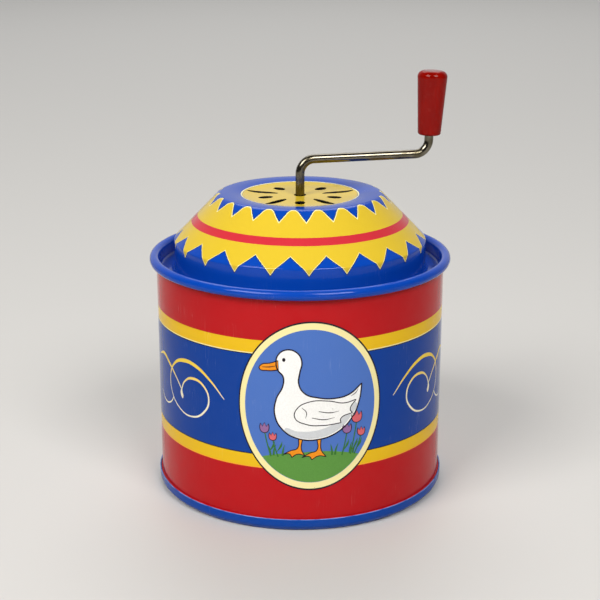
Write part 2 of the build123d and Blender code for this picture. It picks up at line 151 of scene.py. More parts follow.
def arc(centre, radius, start, end, steps):
    """Points of an arc in the radius-height plane, angles in degrees, ends included."""
    angles = [radians(start + (end - start) * i / steps) for i in range(steps + 1)]
    return [(centre[0] + radius * cos(a), centre[1] + radius * sin(a)) for a in angles]


def spun(outline, closed, steps=TURNS):
    """A bmesh of an outline, in millimetres of radius and height, spun round the Z axis."""
    shape = bmesh.new()
    corners = [shape.verts.new((r * MM, 0.0, z * MM)) for r, z in outline]
    edges = [shape.edges.new(pair) for pair in zip(corners, corners[1:])]
    if closed:
        edges.append(shape.edges.new((corners[-1], corners[0])))
    bmesh.ops.spin(
        shape, geom=corners + edges, cent=(0, 0, 0), axis=(0, 0, 1), angle=2 * pi,
        steps=steps, use_merge=True, use_duplicate=False,
    )
    bmesh.ops.remove_doubles(shape, verts=shape.verts, dist=0.002 * MM)
    bmesh.ops.recalc_face_normals(shape, faces=shape.faces)
    return shape


SHARP_ANGLE = 35.0


def piece_from(shape, name, sharp=SHARP_ANGLE):
    """Turns a bmesh into a smooth-shaded piece with its sharp edges kept."""
    mesh = bpy.data.meshes.new(name)
    shape.to_mesh(mesh)
    shape.free()
    mesh.shade_smooth()
    mesh.set_sharp_from_angle(angle=radians(sharp))
    piece = bpy.data.objects.new(name, mesh)
    scene.collection.objects.link(piece)
    return piece


curl_radius = ROLL_RADIUS - SHEET - CURL_GAP
roll_centre = (ROLL_CENTRE, ROLL_HEIGHT)
wall_outline = [(WALL_RADIUS - SHEET, HEM_FOOT), (WALL_RADIUS + SHEET, HEM_FOOT)]
hem_centre = (WALL_RADIUS + SHEET - HEM_ROUND, HEM_TOP - HEM_ROUND)
wall_outline += arc(hem_centre, HEM_ROUND, 0, 90, 6)
wall_outline += [(WALL_RADIUS, HEM_TOP + 0.05)]
ring_rise = (ROLL_HEIGHT - HEM_TOP) / WALL_RINGS
wall_outline += [(WALL_RADIUS, HEM_TOP + ring_rise * i) for i in range(1, WALL_RINGS)]
wall_outline += arc(roll_centre, curl_radius - SHEET, 180, -120, 24)
wall_outline += arc(roll_centre, curl_radius, -120, 180, 24)
can_wall = piece_from(spun(wall_outline, closed=True), "can_wall")
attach(can_wall, "can")
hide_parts("body_shell")


def calc(tree, operation, *values):
    """One Math node. Each value is a number or another node's output."""
    node = tree.nodes.new("ShaderNodeMath")
    node.operation = operation
    for socket, value in zip(node.inputs, values):
        if isinstance(value, (int, float)):
            socket.default_value = value
        else:
            tree.links.new(value, socket)
    return node.outputs[0]


def paint(tree, mask, under, over):
    """Colour over, where mask is 1, on colour under. A colour is a triple or an output."""
    node = tree.nodes.new("ShaderNodeMix")
    node.data_type = "RGBA"
    for socket, value in zip((node.inputs[0], node.inputs[6], node.inputs[7]), (mask, under, over)):
        if isinstance(value, tuple):
            socket.default_value = (*value, 1.0)
        elif isinstance(value, float):
            socket.default_value = value
        else:
            tree.links.new(value, socket)
    return node.outputs[2]


def sides_of(tree, place):
    """The X, Y and Z outputs of a vector."""
    split = tree.nodes.new("ShaderNodeSeparateXYZ")
    tree.links.new(place, split.inputs[0])
    return split.outputs


def object_mm(tree):
    """Object coordinates in millimetres, as a vector output."""
    place = tree.nodes.new("ShaderNodeTexCoord")
    scale = tree.nodes.new("ShaderNodeVectorMath")
    scale.operation = "SCALE"
    scale.inputs["Scale"].default_value = 1 / MM
    tree.links.new(place.outputs["Object"], scale.inputs[0])
    return scale.outputs[0]


def noise(tree, vector, scale, detail=2.0, stretch=(1.0, 1.0, 1.0)):
    """Noise per millimetre of the piece, from 0 to 1, stretched along the axes."""
    mapping = tree.nodes.new("ShaderNodeMapping")
    mapping.inputs["Scale"].default_value = stretch
    node = tree.nodes.new("ShaderNodeTexNoise")
    node.inputs["Scale"].default_value = scale
    node.inputs["Detail"].default_value = detail
    tree.links.new(vector, mapping.inputs["Vector"])
    tree.links.new(mapping.outputs[0], node.inputs["Vector"])
    return node.outputs[0]


def ramp(tree, value, low, high):
    """A smooth 0 to 1 mask as value goes from low to high."""
    node = tree.nodes.new("ShaderNodeMapRange")
    node.interpolation_type = "SMOOTHSTEP"
    node.inputs["From Min"].default_value = low
    node.inputs["From Max"].default_value = high
    tree.links.new(value, node.inputs["Value"])
    return node.outputs["Result"]


def spots(tree, place, scale, edge, heart):
    """Round spots of about one size, 1 within the radius heart and 0 past the radius edge."""
    cells = tree.nodes.new("ShaderNodeTexVoronoi")
    cells.inputs["Scale"].default_value = scale
    tree.links.new(place, cells.inputs["Vector"])
    return ramp(tree, cells.outputs["Distance"], edge, heart)


def bump_by(tree, shader, height, distance, strength):
    """Joins a height to the shader's normal, with its full distance in millimetres."""
    bump = tree.nodes.new("ShaderNodeBump")
    bump.inputs["Distance"].default_value = distance * MM
    bump.inputs["Strength"].default_value = strength
    tree.links.new(height, bump.inputs["Height"])
    tree.links.new(bump.outputs[0], shader.inputs["Normal"])


def new_effect(name, results):
    """A node group of masks. Returns it, its Place output, and its end with the results."""
    group = bpy.data.node_groups.new(name, "ShaderNodeTree")
    group.interface.new_socket("Place", in_out="INPUT", socket_type="NodeSocketVector")
    for result in results:
        group.interface.new_socket(result, in_out="OUTPUT", socket_type="NodeSocketFloat")
    start = group.nodes.new("NodeGroupInput")
    return group, start.outputs["Place"], group.nodes.new("NodeGroupOutput")


def put_effect(tree, effect, place):
    """Places a node group in a material and returns its outputs."""
    node = tree.nodes.new("ShaderNodeGroup")
    node.node_tree = effect
    tree.links.new(place, node.inputs["Place"])
    return node.outputs


def make_lacquer_wear():
    """Node group: hairline scratches, specks of dust, smears and the sheet's soft ripples."""
    results = ("Scratches", "Specks", "Smears", "Ripples")
    group, place, end = new_effect("lacquer_wear", results)
    # a scratch is the thin line where a stretched noise crosses its middle value
    lines = noise(group, place, 1.1, 2.0, (1.0, 1.0, 0.035))
    off_middle = calc(group, "ABSOLUTE", calc(group, "SUBTRACT", lines, 0.5))
    thin = ramp(group, off_middle, 0.012, 0.0)
    sparse = ramp(group, noise(group, place, 0.1, 2.0), 0.55, 0.72)
    group.links.new(calc(group, "MULTIPLY", thin, sparse), end.inputs["Scratches"])
    dots = spots(group, place, 0.42, 0.075, 0.03)
    dusty = ramp(group, noise(group, place, 0.09, 2.0), 0.56, 0.64)
    group.links.new(calc(group, "MULTIPLY", dots, dusty), end.inputs["Specks"])
    group.links.new(noise(group, place, 0.07, 3.0), end.inputs["Smears"])
    ripples = noise(group, place, 0.11, 1.0, (1.0, 1.0, 0.35))
    group.links.new(ripples, end.inputs["Ripples"])
    return group


lacquer_wear = make_lacquer_wear()


def lacquered(name, gloss=0.10, coat=0.06):
    """A glossy lacquer finish with its wear. Returns the material, tree, place and join_colour.

    place is the spot on the piece in millimetres. join_colour takes the printed colour and
    joins it, with the wear on it, to the shader.
    """
    material, tree, shader = new_finish(name)
    shader.inputs["Specular IOR Level"].default_value = gloss
    shader.inputs["Coat Weight"].default_value = coat
    shader.inputs["Coat Roughness"].default_value = 0.05
    place = object_mm(tree)
    scratches, specks, smears, ripples = put_effect(tree, lacquer_wear, place)
    dull = calc(tree, "MULTIPLY_ADD", ramp(tree, smears, 0.35, 0.7), 0.08, 0.11)
    dull = calc(tree, "MULTIPLY_ADD", scratches, 0.25, dull)
    tree.links.new(dull, shader.inputs["Roughness"])
    bump_by(tree, shader, ripples, 0.05, 0.5)

    def join_colour(colour):
        haze = ramp(tree, noise(tree, place, 0.25, 3.0), 0.2, 0.8)
        colour = paint(tree, calc(tree, "MULTIPLY", haze, 0.003), colour, (0.9, 0.86, 0.78))
        light = calc(tree, "MULTIPLY", scratches, 0.06)
        colour = paint(tree, light, colour, (0.8, 0.78, 0.72))
        dark = calc(tree, "MULTIPLY", specks, 0.55)
        colour = paint(tree, dark, colour, (0.05, 0.035, 0.02))
        tree.links.new(colour, shader.inputs["Base Color"])

    return material, tree, place, join_colour


RED = (0.43, 0.006, 0.009)
YELLOW = (0.74, 0.455, 0.010)
BLUE = (0.002, 0.042, 0.27)
CREAM = (0.83, 0.74, 0.36)
INK = (0.008, 0.007, 0.016)
ORANGE = (0.85, 0.33, 0.03)
FIELD_BLUE, FIELD_DOT = (0.058, 0.145, 0.46), (0.11, 0.20, 0.52)

# heights where each printed band begins, from the foot up
BANDS = [
    (0.0, RED), (17.5, ORANGE), (17.68, YELLOW), (21.05, CREAM), (21.25, INK), (21.45, BLUE),
    (48.75, INK), (48.95, CREAM), (49.15, YELLOW), (52.6, ORANGE), (52.78, RED),
]
BAND_SCALE = 68.0
# the oval, as arc length from the front line, height, and half width and half height
OVAL_ARC, OVAL_HEIGHT, OVAL_WIDE, OVAL_TALL = 2.86, 35.0, 19.3, 23.3
CREAM_EDGE, FIELD_EDGE = 0.98, 0.905
# how fast the field's printing screen repeats, as the angle of its wave per millimetre
SCREEN_PITCH = 12.3


def angle_round(tree, x, y):
    """The angle round the can, from the front line."""
    return calc(tree, "ARCTAN2", x, calc(tree, "MULTIPLY", y, -1.0))


def print_wall():
    """Printed colours of the can wall: bands by height, and the oval on the front."""
    material, tree, place, join_colour = lacquered("printed_wall")
    x, y, height = sides_of(tree, place)
    bands = tree.nodes.new("ShaderNodeValToRGB")
    bands.color_ramp.interpolation = "CONSTANT"
    for index, (start, colour) in enumerate(BANDS):
        if index < 2:
            stop = bands.color_ramp.elements[index]
            stop.position = start / BAND_SCALE
        else:
            stop = bands.color_ramp.elements.new(start / BAND_SCALE)
        stop.color = (*colour, 1.0)
    tree.links.new(calc(tree, "DIVIDE", height, BAND_SCALE), bands.inputs[0])
    across = calc(tree, "MULTIPLY_ADD", angle_round(tree, x, y), WALL_RADIUS, -OVAL_ARC)
    up = calc(tree, "SUBTRACT", height, OVAL_HEIGHT)
    squares = []
    for way, reach in ((across, OVAL_WIDE), (up, OVAL_TALL)):
        share = calc(tree, "DIVIDE", way, reach)
        squares.append(calc(tree, "MULTIPLY", share, share))
    oval = calc(tree, "SQRT", calc(tree, "ADD", *squares))
    # a fine printing screen over the oval's field
    lines = []
    for join in ("ADD", "SUBTRACT"):
        slant = calc(tree, "MULTIPLY", calc(tree, join, across, up), SCREEN_PITCH)
        lines.append(calc(tree, "SINE", slant))
    dots = ramp(tree, calc(tree, "MULTIPLY", *lines), -0.2, 0.6)
    field = paint(tree, calc(tree, "MULTIPLY", dots, 0.5), FIELD_BLUE, FIELD_DOT)
    colour = bands.outputs[0]
    for edge, inside in ((1.0, INK), (CREAM_EDGE, CREAM), (FIELD_EDGE, field)):
        colour = paint(tree, calc(tree, "LESS_THAN", oval, edge), colour, inside)
    join_colour(colour)
    return material


can_wall.data.materials.append(print_wall())

# The lap seam: the sheet's edge lies over the other edge, straight down the back of the can.
# It is the printed wall's own sheet, so it stands proud by less than the sheet's thickness.
LAP_WIDTH, LAP_STEP, LAP_SUNK = 3.0, 0.22, 0.1
LAP_FOOT, LAP_TOP = HEM_TOP + 0.6, 63.5
lap_in, lap_out = WALL_RADIUS - LAP_SUNK, WALL_RADIUS + LAP_STEP
lap_outline = [(lap_in, LAP_FOOT), (lap_out, LAP_FOOT), (lap_out, LAP_TOP), (lap_in, LAP_TOP)]
shape = bmesh.new()
lap_face = shape.faces.new([shape.verts.new((r * MM, 0.0, z * MM)) for r, z in lap_outline])
bmesh.ops.spin(
    shape, geom=[lap_face], cent=(0, 0, 0), axis=(0, 0, 1), angle=LAP_WIDTH / WALL_RADIUS,
    steps=6,
)
bmesh.ops.recalc_face_normals(shape, faces=shape.faces)
bmesh.ops.bevel(
    shape, geom=list(shape.edges), offset=0.08 * MM, offset_type="OFFSET", affect="EDGES",
    segments=2, profile=0.5, material=-1, clamp_overlap=True,
)
to_back = Matrix.Rotation(pi / 2, 3, "Z")
bmesh.ops.rotate(shape, verts=shape.verts, cent=(0, 0, 0), matrix=to_back)
lap_seam = piece_from(shape, "lap_seam")
lap_seam.data.materials.append(can_wall.data.materials[0])
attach(lap_seam, "can")

# ---- printed scrolls and picture ---------------------------------------------------------
# Thin coats of ink on the can wall: four scrolls round the blue band, and inside the oval a
# plain white duck on grass, with flowers. A coat is a film about 0.02 mm thick.

FILM = 0.02
STRIP_REACH = 60


def lay_ink(shape, name, lift, finish, sharp=SHARP_ANGLE):
    """Lays flat ink, drawn in X and Y about the oval's centre, on the can wall."""
    for vertex in shape.verts:
        across, up, out = vertex.co
        radius = WALL_RADIUS * MM + lift * MM + out
        angle = (across + OVAL_ARC * MM) / (WALL_RADIUS * MM)
        vertex.co = (radius * sin(angle), -radius * cos(angle), up + OVAL_HEIGHT * MM)
    bmesh.ops.recalc_face_normals(shape, faces=shape.faces)
    piece = piece_from(shape, name, sharp)
    piece.data.materials.append(finish)
    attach(piece, "can")


def curve_shape(data):
    """A bmesh of a curve, which is then thrown away."""
    carrier = bpy.data.objects.new("carrier", data)
    scene.collection.objects.link(carrier)
    bpy.context.view_layer.update()
    mesh = bpy.data.meshes.new_from_object(carrier)
    shape = bmesh.new()
    shape.from_mesh(mesh)
    bpy.data.objects.remove(carrier)
    bpy.data.curves.remove(data)
    bpy.data.meshes.remove(mesh)
    return shape


def add_spline(data, points, cyclic):
    """One smooth spline through points in millimetres.

    A point's third value is its share of the stroke's width, or 0 to make it a corner.
    """
    spline = data.splines.new("BEZIER")
    spline.bezier_points.add(len(points) - 1)
    spline.use_cyclic_u = cyclic
    for knot, point in zip(spline.bezier_points, points):
        knot.co = (point[0] * MM, point[1] * MM, 0.0)
        corner = len(point) > 2 and point[2] == 0
        knot.handle_left_type = knot.handle_right_type = "VECTOR" if corner else "AUTO"
        knot.radius = point[2] if len(point) > 2 and not corner else 1.0


def ink_area(name, outlines, lift, finish):
    """Filled ink shapes on the can wall."""
    data = bpy.data.curves.new(name, "CURVE")
    data.dimensions = "2D"
    data.fill_mode = "BOTH"
    data.resolution_u = 8
    data.extrude = FILM / 2 * MM
    for outline in outlines:
        add_spline(data, outline, cyclic=True)
    shape = curve_shape(data)
    bmesh.ops.remove_doubles(shape, verts=shape.verts, dist=0.001 * MM)
    # cut into upright strips, so that the flat ink can follow the round wall
    for step in range(-STRIP_REACH, STRIP_REACH + 1):
        bmesh.ops.bisect_plane(
            shape, geom=[*shape.verts, *shape.edges, *shape.faces], dist=1e-9,
            plane_co=(step * MM, 0, 0), plane_no=(1, 0, 0),
        )
    lay_ink(shape, name, lift, finish)


def ink_lines(name, strokes, width, lift, finish, cyclic=False):
    """Ink strokes on the can wall. A stroke's points may give its width there as a share."""
    data = bpy.data.curves.new(name, "CURVE")
    data.dimensions = "3D"
    data.bevel_depth = width / 2 * MM
    data.bevel_resolution = 1
    data.use_fill_caps = True
    data.resolution_u = 10
    for stroke in strokes:
        add_spline(data, stroke, cyclic)
    shape = curve_shape(data)
    flat = FILM / width
    for vertex in shape.verts:
        vertex.co.z *= flat
    lay_ink(shape, name, lift, finish, sharp=60.0)


def ink(name, colour, second=None):
    """A lacquered ink, finely mottled, or shading down softly into a second colour."""
    material, tree, place, join_colour = lacquered(name)
    if second is None:
        fine = ramp(tree, noise(tree, place, 2.5, 2.0), 0.35, 0.65)
        darker = tuple(0.82 * c for c in colour)
        join_colour(paint(tree, calc(tree, "MULTIPLY", fine, 0.35), colour, darker))
    else:
        height = sides_of(tree, place)[2]
        high = ramp(tree, height, OVAL_HEIGHT - 2.0, OVAL_HEIGHT + 5.5)
        join_colour(paint(tree, high, second, colour))
    return material


white_ink = ink("white_ink", (0.86, 0.86, 0.84))
shade_ink = ink("shade_ink", (0.58, 0.60, 0.62))
orange_ink = ink("orange_ink", (0.78, 0.26, 0.012))
outline_ink = ink("outline_ink", (0.016, 0.010, 0.016))
grass_ink = ink("grass_ink", (0.10, 0.27, 0.05))
stem_ink = ink("stem_ink", (0.04, 0.16, 0.03))
pink_ink = ink("pink_ink", (0.62, 0.12, 0.14))
mauve_ink = ink("mauve_ink", (0.27, 0.13, 0.30))
scroll_ink = ink("scroll_ink", (0.81, 0.58, 0.06), (0.80, 0.76, 0.56))

# one scroll, drawn to the right of the oval. Its mirror image is to the left, and both come
# again, turned about, on the back half of the can
SCROLL_WIDTH = 0.8
scroll_strokes = [
    [(23.6, 0.2, 0.25), (28.0, 4.5, 0.75), (33.2, 7.4, 1.25), (38.6, 7.7, 1.35),
     (43.2, 5.6, 0.8), (45.9, 1.6, 0.45), (45.2, -3.2, 0.4), (41.0, -6.6, 0.45),
     (35.2, -7.4, 0.55), (30.6, -5.0, 0.7), (28.7, -1.0, 0.6), (30.6, 2.6, 0.75),
     (34.6, 3.6, 0.95), (38.0, 2.0, 0.55), (39.6, -0.6, 0.5), (39.8, -1.7, 1.3),
     (39.5, -2.6, 1.5), (39.3, -3.3, 0.5)],
    [(55.2, 4.9, 0.4), (50.6, 6.2, 1.1), (46.6, 4.7, 1.0), (42.6, 2.0, 0.6), (39.9, -0.6, 0.5)],
    [(54.0, -5.3, 0.3), (50.2, -7.4, 0.5), (46.4, -6.6, 0.5), (44.2, -4.4, 0.3)],
]
half_way = pi * WALL_RADIUS
scroll_sides = (("right", 1, 0), ("left", -1, 0), ("back_right", 1, 1), ("back_left", -1, 1))
for name, side, at_back in scroll_sides:
    strokes = []
    for stroke in scroll_strokes:
        strokes.append([(side * (half_way - x if at_back else x), y, w) for x, y, w in stroke])
    ink_lines(f"scroll_{name}", strokes, SCROLL_WIDTH, 0.02, scroll_ink)

# a low bank of grass along the foot of the oval
bank_wide, bank_tall = OVAL_WIDE * FIELD_EDGE - 0.1, OVAL_TALL * FIELD_EDGE - 0.1
bank = []
BANK_STEPS = 12
for step in range(BANK_STEPS + 1):
    angle = radians(222 + (318 - 222) * step / BANK_STEPS)
    corner = 0 if step in (0, BANK_STEPS) else 1.0
    bank.append((bank_wide * cos(angle), bank_tall * sin(angle), corner))
bank += [(8.2, -12.9), (3.0, -12.3), (-3.4, -12.6), (-8.6, -13.1)]
ink_area("grass_bank", [bank], 0.02, grass_ink)
blade_places = [
    (-10.6, -0.9), (-9.8, 0.6), (-7.4, 0.5), (5.6, -0.4), (6.4, 0.8), (10.4, 0.5), (11.2, 1.5),
]
blades = []
for root, lean in blade_places:
    blades.append([(root, -13.6, 1.2), (root + lean * 0.3, -11.9, 0.9), (root + lean, -10.5, 0.2)])
ink_lines("grass_blades", blades, 0.5, 0.03, stem_ink)

# five plain cup-shaped flowers on stems, three to the right of the duck and two to the left
flower_places = [
    (12.3, -4.6, 1.0), (9.6, -7.4, 0.85), (13.6, -8.6, 0.75), (-12.2, -6.9, 0.85),
    (-10.0, -9.0, 0.7),
]
stems, cups = [], []
for x, y, size in flower_places:
    stems.append([(x * 0.86, -13.9, 1.0), (x * 0.94, (y - 13.9) / 2, 0.8), (x, y, 0.7)])
    stems.append([(x * 0.9, -12.6, 0.3), (x * 0.9 + 1.1, -10.9, 1.5), (x * 0.9 + 1.5, -9.6, 0.2)])
    cup = [(-1.25, 2.5, 0), (-1.45, 1.0), (-0.8, -0.3), (0.8, -0.3), (1.45, 1.0), (1.25, 2.5, 0)]
    cup += [(0.62, 1.5, 0), (0.0, 2.8, 0), (-0.62, 1.5, 0)]
    cups.append([(x + size * point[0], y + size * point[1], *point[2:]) for point in cup])
ink_lines("flower_stems", stems, 0.4, 0.04, stem_ink)
ink_area("flower_cups_pink", cups[::2], 0.06, pink_ink)
ink_area("flower_cups_mauve", cups[1::2], 0.06, mauve_ink)
ink_lines("flower_outlines", cups, 0.2, 0.075, outline_ink, cyclic=True)

# the duck stands side on and looks to the left
duck_body = [
    (-9.0, 11.9), (-8.5, 14.2), (-6.3, 15.7), (-3.7, 15.0), (-2.4, 12.6), (-2.9, 9.6),
    (-3.2, 6.6), (-1.7, 3.9), (1.9, 2.6), (6.6, 2.2), (10.2, 3.0), (13.6, 5.6, 0),
    (13.0, 1.2), (11.2, -3.2), (7.4, -7.0), (2.2, -8.9), (-3.4, -8.6), (-7.4, -6.2),
    (-9.4, -2.2), (-9.0, 2.2), (-7.3, 5.8), (-7.2, 8.4), (-8.6, 10.2),
]
duck_shade = [
    (11.9, 0.6), (10.4, -3.4), (7.0, -6.7), (2.2, -8.5), (-3.2, -8.3), (-6.9, -6.1),
    (-3.6, -6.6), (1.6, -6.4), (6.4, -4.6), (9.6, -1.6),
]
duck_wing = [
    (-3.7, -0.4), (-0.6, 1.5), (4.4, 1.6), (8.8, 0.7), (12.0, 1.3, 0), (10.4, -1.3),
    (11.0, -2.2, 0), (7.8, -3.6), (7.9, -4.7, 0), (3.2, -5.1), (-1.4, -4.6), (-4.2, -2.8),
]
duck_bill = [
    (-8.5, 12.7, 0), (-10.4, 12.0), (-13.0, 11.3), (-13.4, 10.3), (-11.4, 9.9), (-8.4, 10.2, 0),
]
duck_feet = [
    [(1.6, -8.7, 0), (2.6, -8.8, 0), (2.7, -12.0), (4.0, -13.9, 0), (2.0, -13.6),
     (0.2, -14.6, 0), (-0.4, -13.7), (-2.4, -13.9, 0), (-0.2, -12.7), (1.5, -12.0)],
    [(-3.2, -8.4, 0), (-2.2, -8.7, 0), (-2.5, -11.6), (-1.7, -13.3, 0), (-3.5, -13.0),
     (-5.0, -13.9, 0), (-5.6, -13.0), (-7.2, -13.1, 0), (-5.2, -12.0), (-3.6, -11.4)],
]
OUTLINE_WIDTH, FINE_WIDTH = 0.36, 0.26
ink_area("duck_feet", duck_feet, 0.04, orange_ink)
ink_lines("duck_feet_outline", duck_feet, FINE_WIDTH, 0.05, outline_ink, cyclic=True)
ink_area("duck_body", [duck_body], 0.06, white_ink)
ink_area("duck_shade", [duck_shade], 0.075, shade_ink)
ink_area("duck_wing", [duck_wing], 0.09, white_ink)
ink_area("duck_bill", [duck_bill], 0.075, orange_ink)
ink_lines("duck_outline", [duck_body], OUTLINE_WIDTH, 0.085, outline_ink, cyclic=True)
ink_lines("duck_wing_outline", [duck_wing], FINE_WIDTH, 0.105, outline_ink, cyclic=True)
ink_lines("duck_bill_outline", [duck_bill], FINE_WIDTH, 0.095, outline_ink, cyclic=True)
feather_strokes = [
    [(2.0, -1.2, 0.7), (5.0, -1.7, 1.0), (7.4, -1.4, 0.3)],
    [(0.2, -2.9, 0.7), (3.4, -3.5, 1.0), (6.2, -3.1, 0.3)],
    [(-2.4, 0.0, 0.5), (-1.2, -1.4, 0.9), (-1.4, -3.0, 0.3)],
    [(-12.6, 10.8, 0.5), (-10.8, 10.9, 0.9), (-9.0, 11.3, 0.4)],
    [(10.6, 2.4, 0.4), (11.9, 3.2, 0.9), (12.6, 4.2, 0.3)],
]
ink_lines("duck_feathers", feather_strokes, FINE_WIDTH, 0.11, outline_ink)
EYE_PLACE, EYE_WIDE, EYE_TALL = (-7.0, 13.0), 0.42, 0.52
eye = []
for angle in (0, pi / 2, pi, 3 * pi / 2):
    eye.append((EYE_PLACE[0] + EYE_WIDE * cos(angle), EYE_PLACE[1] + EYE_TALL * sin(angle)))
ink_area("duck_eye", [eye], 0.11, outline_ink)

# ---- base --------------------------------------------------------------------------------
# Blue lacquered tinplate pressed to a shallow tray: a recessed panel, a flat ring that stands
# on the table, and a skirt folded up and pressed round the foot of the can wall.

PANEL_HEIGHT, SEAM_RADIUS, SEAM_TOP = 2.2, 40.75, 3.5
PANEL_RINGS = (0.0, 12.0, 24.0, 35.9)
FOOT_OUT = 39.6
# from the panel's middle along the underside and up the seam, then back along the inside
base_outside = [(ring, PANEL_HEIGHT) for ring in PANEL_RINGS]
base_outside += [(36.3, 2.14), (36.6, 1.95), (37.0, 1.52), (37.9, 0.28), (38.1, 0.09), (38.4, 0.0)]
base_outside += [(FOOT_OUT - 0.24, 0.0), (FOOT_OUT - 0.05, 0.04), (FOOT_OUT + 0.1, 0.14)]
base_outside += [(40.35, 0.88), (40.6, 1.22), (40.71, 1.5), (SEAM_RADIUS, 1.8)]
base_outside += [(SEAM_RADIUS, SEAM_TOP - 0.1), (SEAM_RADIUS - 0.06, SEAM_TOP - 0.02)]
base_outside += [(SEAM_RADIUS - 0.16, SEAM_TOP)]
seam_inside = SEAM_RADIUS - SHEET
base_inside = [(seam_inside + 0.02, SEAM_TOP - 0.06), (seam_inside, SEAM_TOP - 0.3)]
base_inside += [(seam_inside, 1.85), (40.3, 1.5), (40.1, 1.12), (39.35, 0.38), (38.45, 0.36)]
base_inside += [(37.3, 1.75), (36.85, 2.3), (36.4, 2.52)]
base_inside += [(ring, PANEL_HEIGHT + SHEET) for ring in PANEL_RINGS[::-1]]
base_tray = piece_from(spun(base_outside + base_inside, closed=False), "base_tray")


def cut_holes(piece, cutters):
    """Cuts closed cutter shapes out of a piece and throws the cutters away."""
    mesh = bpy.data.meshes.new("cutters")
    cutters.to_mesh(mesh)
    cutters.free()
    tool = bpy.data.objects.new("cutters", mesh)
    scene.collection.objects.link(tool)
    cut = piece.modifiers.new("cut", "BOOLEAN")
    cut.object = tool
    cut.solver = "EXACT"
    bpy.context.view_layer.update()
    finished = piece.evaluated_get(bpy.context.evaluated_depsgraph_get())
    result = bpy.data.meshes.new_from_object(finished)
    piece.modifiers.clear()
    piece.data = result
    result.name = piece.name
    bpy.data.objects.remove(tool)
    result.shade_smooth()
    result.set_sharp_from_angle(angle=radians(SHARP_ANGLE))


SCREW_HOLES, SCREW_HOLE_RADIUS = [(-7.5, -15.5), (22.5, -15.5), (8.0, 15.0)], 1.4
shape = bmesh.new()
for x, y in SCREW_HOLES:
    bmesh.ops.create_cone(
        shape, cap_ends=True, segments=32, radius1=SCREW_HOLE_RADIUS * MM,
        radius2=SCREW_HOLE_RADIUS * MM, depth=3 * MM,
        matrix=Matrix.Translation((x * MM, y * MM, PANEL_HEIGHT * MM)),
    )
cut_holes(base_tray, shape)
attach(base_tray, "can")
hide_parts("base_plate")


def blue_lacquer():
    """Plain blue lacquer with a painted highlight in lighter blue, in patches, along the top edge of
    the seam.
    """
    material, tree, place, join_colour = lacquered("blue_lacquer")
    # painted highlight: lighter blue along the seam's top edge, broken into patches by noise
    edge = ramp(tree, sides_of(tree, place)[2], SEAM_TOP - 0.22, SEAM_TOP - 0.02)
    highlight_patches = ramp(tree, noise(tree, place, 0.3, 3.0), 0.25, 0.6)
    mask = calc(tree, "MULTIPLY", calc(tree, "MULTIPLY", edge, highlight_patches), 0.75)
    join_colour(paint(tree, mask, (0.002, 0.05, 0.31), (0.20, 0.30, 0.62)))
    return material


base_tray.data.materials.append(blue_lacquer())

# ---- lid ---------------------------------------------------------------------------------
# One pressing in printed tinplate: a dished top with ten leaf-shaped sound slots and the
# crank's hole, a cone, a skirt, a gutter, and an edge rolled outwards over the can wall's curl.

HOLE_RADIUS = 1.75
DISH = (14.0, 82.3)
BROW = (18.5, 83.1)
CROWN = (22.6, 83.1)
SHOULDER = (34.9, 70.5)
GUTTER = (35.0, 62.2)
ROLL_TURN, ROLL_STEPS = 262.0, 40
RUN_PIECE = 1.2


def add_run(points, end):
    """Divides the straight run from the last point to end, which isn't added itself."""
    run = end - points[-1]
    pieces = max(1, round(run.length / RUN_PIECE))
    points += [points[-1] + run * i / pieces for i in range(1, pieces)]


def rounded(corners, radii):
    """An outline through corners with each inner corner rounded, and long runs divided."""
    points = [Vector(corners[0])]
    for before, corner, after, radius in zip(corners, corners[1:], corners[2:], radii):
        before, corner, after = Vector(before), Vector(corner), Vector(after)
        back, on = (before - corner).normalized(), (after - corner).normalized()
        half = back.angle(on) / 2
        centre = corner + (back + on).normalized() * radius / sin(half)
        start, end = corner + back * radius / tan(half), corner + on * radius / tan(half)
        add_run(points, start)
        first = start - centre
        sweep = first.angle_signed(end - centre)
        steps = max(3, round(degrees(abs(sweep)) / 7))
        for i in range(steps + 1):
            points.append(centre + Matrix.Rotation(-sweep * i / steps, 2) @ first)
    last = Vector(corners[-1])
    add_run(points, last)
    return points + [last]


def beside(points, gap):
    """The same outline moved sideways by gap, to the right of the way it runs."""
    moved = []
    for index, point in enumerate(points):
        ahead = points[min(index + 1, len(points) - 1)] - points[max(index - 1, 0)]
        side = Vector((ahead.y, -ahead.x)).normalized()
        moved.append(point + side * gap)
    return moved


gutter_out = ROLL_CENTRE - ROLL_RADIUS
lid_corners = [(HOLE_RADIUS, DISH[1]), DISH, BROW, CROWN, SHOULDER, GUTTER]
lid_corners += [(gutter_out, GUTTER[1]), (gutter_out, ROLL_HEIGHT - 0.05)]
lid_top = rounded(lid_corners, [24.0, 20.0, 2.4, 0.8, 1.0, 0.9])
lid_under = beside(lid_top, SHEET)
roll_end = 180 - ROLL_TURN
roll_out = arc(roll_centre, ROLL_RADIUS, 180, roll_end, ROLL_STEPS)
roll_in = arc(roll_centre, ROLL_RADIUS - SHEET, roll_end, 180, ROLL_STEPS)
lid_outline = [*lid_top, *roll_out, *roll_in, *lid_under[::-1]]
lid = piece_from(spun(lid_outline, closed=True), "lid")

